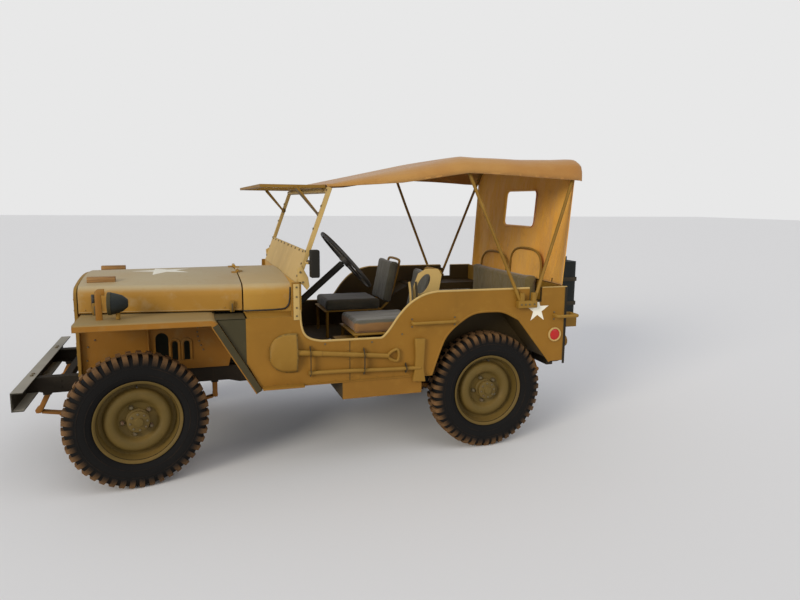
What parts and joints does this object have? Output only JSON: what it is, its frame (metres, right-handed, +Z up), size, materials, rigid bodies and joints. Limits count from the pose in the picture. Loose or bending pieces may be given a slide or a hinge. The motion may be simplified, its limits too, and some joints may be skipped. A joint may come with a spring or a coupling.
{
  "type": "army four by four car",
  "caption": "Open four-wheel-drive army car with a hollow body, folding hood, steered front wheels, canvas top on bows, spare wheel and fuel can.",
  "frame": {"origin": "on the ground under the centre of the overall box", "axes": "+X forward, +Y to the car's left, +Z up"},
  "size_m": [3.34, 1.574, 1.7874],
  "materials": {
    "tyre": "dusty black rubber",
    "olive_paint": "flat olive drab paint, dusty",
    "chassis_paint": "flat dark olive paint, dirty",
    "cast_metal": "painted casting",
    "exhaust_steel": "rusty steel tube",
    "tool_wood": "worn bare wood",
    "lamp_glass": "clear lamp glass",
    "pane_glass": "clear flat glass",
    "wheel_plastic": "worn black hard rubber rim",
    "seat_fabric": "olive canvas duck",
    "canvas": "faded khaki canvas"
  },
  "bodies": {
    "chassis": {"front_axle": "chassis_paint", "rear_axle": "chassis_paint", "leaf_springs": "chassis_paint", "frame": "olive_paint", "bumpers": "olive_paint", "engine_block": "cast_metal", "drive_shafts": "chassis_paint", "exhaust": "exhaust_steel", "tub_floor": "olive_paint", "fuel_tank": "olive_paint", "tub_left_side": "olive_paint", "tub_right_side": "olive_paint", "tub_rear_panel": "olive_paint", "fuel_can": "olive_paint", "spare_rim": "olive_paint", "spare_tyre": "tyre", "cowl": "olive_paint", "grille": "olive_paint", "lamps": "lamp_glass", "fender_left": "olive_paint", "fender_right": "olive_paint", "windshield_frame": "olive_paint", "glass_frame": "olive_paint", "windshield_glass": "pane_glass", "driver_controls": "olive_paint", "seat_frames": "olive_paint", "seat_cushions": "seat_fabric", "top_bows": "olive_paint", "canvas_top": "canvas", "body_handles": "olive_paint", "pioneer_tools": "tool_wood"},
    "hood": {"hood": "olive_paint", "hood_blocks": "tool_wood"},
    "knuckle_left": {"knuckle_left": "chassis_paint"},
    "knuckle_right": {"knuckle_right": "chassis_paint"},
    "tie_rod": {"tie_rod": "chassis_paint"},
    "steering_wheel": {"steering_wheel": "wheel_plastic"},
    "wheel_front_left": {"rim_front_left": "olive_paint", "tyre_front_left": "tyre"},
    "wheel_front_right": {"rim_front_right": "olive_paint", "tyre_front_right": "tyre"},
    "wheel_rear_left": {"rim_rear_left": "olive_paint", "tyre_rear_left": "tyre"},
    "wheel_rear_right": {"rim_rear_right": "olive_paint", "tyre_rear_right": "tyre"}
  },
  "joints": [
    {"name": "hood_hinge", "type": "hinge", "parent": "chassis", "child": "hood", "pos_m": [0.541, 0, 1.092], "axis": [0, -1, 0], "range_deg": [0, 85]},
    {"name": "steer_left", "type": "hinge", "parent": "chassis", "child": "knuckle_left", "pos_m": [1.121, 0.53, 0.361], "axis": [0, 0, 1], "range_deg": [-35.1, 16.9]},
    {"name": "steer_right", "type": "hinge", "parent": "chassis", "child": "knuckle_right", "pos_m": [1.121, -0.53, 0.361], "axis": [0, 0, 1], "range_deg": [-35.1, 16.9]},
    {"name": "tie_rod_pivot", "type": "hinge", "parent": "knuckle_left", "child": "tie_rod", "pos_m": [0.95314, 0.50311, 0.44], "axis": [0, 0, 1], "range_deg": [-16.9, 35.1]},
    {"name": "steering_wheel_turn", "type": "hinge", "parent": "chassis", "child": "steering_wheel", "pos_m": [-0.085, 0.38, 1.161], "axis": [-0.7486, 0.0476, 0.6613], "range_deg": [-491.4, 236.6]},
    {"name": "front_left_spin", "type": "hinge", "parent": "knuckle_left", "child": "wheel_front_left", "pos_m": [1.10645, 0.62084, 0.361], "axis": [-0.1582, 0.9874, 0], "continuous": true},
    {"name": "front_right_spin", "type": "hinge", "parent": "knuckle_right", "child": "wheel_front_right", "pos_m": [1.13555, -0.62084, 0.361], "axis": [-0.1582, 0.9874, 0], "continuous": true},
    {"name": "rear_left_spin", "type": "hinge", "parent": "chassis", "child": "wheel_rear_left", "pos_m": [-0.911, 0.622, 0.361], "axis": [0, 1, 0], "continuous": true},
    {"name": "rear_right_spin", "type": "hinge", "parent": "chassis", "child": "wheel_rear_right", "pos_m": [-0.911, -0.622, 0.361], "axis": [0, 1, 0], "continuous": true}
  ],
  "couplings": [
    {"joint": "steer_right", "follows": "steer_left", "ratio": 1},
    {"joint": "tie_rod_pivot", "follows": "steer_left", "ratio": -1},
    {"joint": "steering_wheel_turn", "follows": "steer_left", "ratio": 14}
  ]
}
